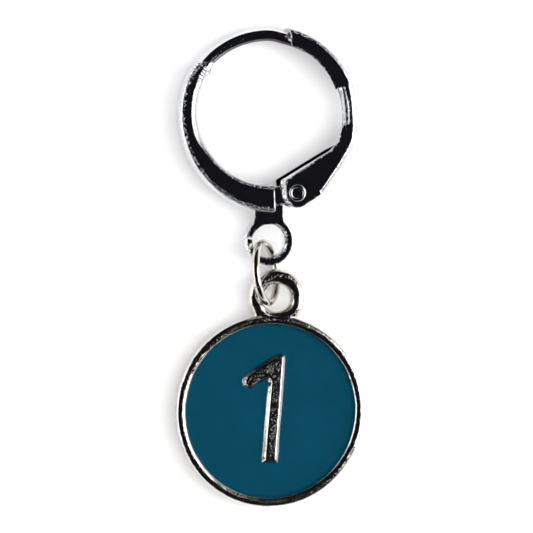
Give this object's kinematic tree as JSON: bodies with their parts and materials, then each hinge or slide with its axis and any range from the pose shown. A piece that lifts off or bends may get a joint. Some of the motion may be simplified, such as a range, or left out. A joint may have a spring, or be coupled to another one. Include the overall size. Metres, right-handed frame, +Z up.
{
  "type": "stitch marker",
  "caption": "Hinged hoop that snaps shut round a needle or stitch, with a jump ring and an enamelled disc charm carrying a plain figure.",
  "frame": {"origin": "centre of the hoop, at the level of the table that the marker lies on", "axes": "+Z up from the table, square to the hoop and the disc; +Y from the charm towards the ear wire at the top of the hoop; +X towards the lever"},
  "size_m": [0.0124, 0.0311, 0.0038],
  "materials": {
    "plated_arm": "bright plated",
    "plated_wire": "bright plated",
    "solder": "plated solder",
    "plated_strip": "bright plated",
    "spring_steel": "plain spring strip",
    "plated_rivet": "bright plated",
    "plated_lever": "bright plated",
    "nickel_wire": "drawn nickel wire",
    "cast_nickel": "cast and plated",
    "enamel": "gloss soft enamel"
  },
  "bodies": {
    "hoop": {"hoop_arm": "plated_arm", "ear_wire": "plated_wire", "solder_joint": "solder", "hanger_strip": "plated_strip", "lever_spring": "spring_steel", "hinge_rivet": "plated_rivet"},
    "lever": {"lever": "plated_lever"},
    "jump_ring": {"jump_ring": "nickel_wire"},
    "charm": {"charm": "cast_nickel", "enamel": "enamel"}
  },
  "joints": [
    {"name": "lever_hinge", "type": "hinge", "parent": "hoop", "child": "lever", "pos_m": [0.00174, -0.00472, 0.0012], "axis": [0, 0, -1], "range_deg": [0, 60]},
    {"name": "jump_ring_swing", "type": "hinge", "parent": "hoop", "child": "jump_ring", "pos_m": [0, -0.00786, 0.0012], "axis": [0, 0, 1], "range_deg": [-35, 35]},
    {"name": "charm_swing", "type": "hinge", "parent": "jump_ring", "child": "charm", "pos_m": [0.0006, -0.01156, 0.00115], "axis": [0, 0, 1], "range_deg": [-30, 30]}
  ]
}
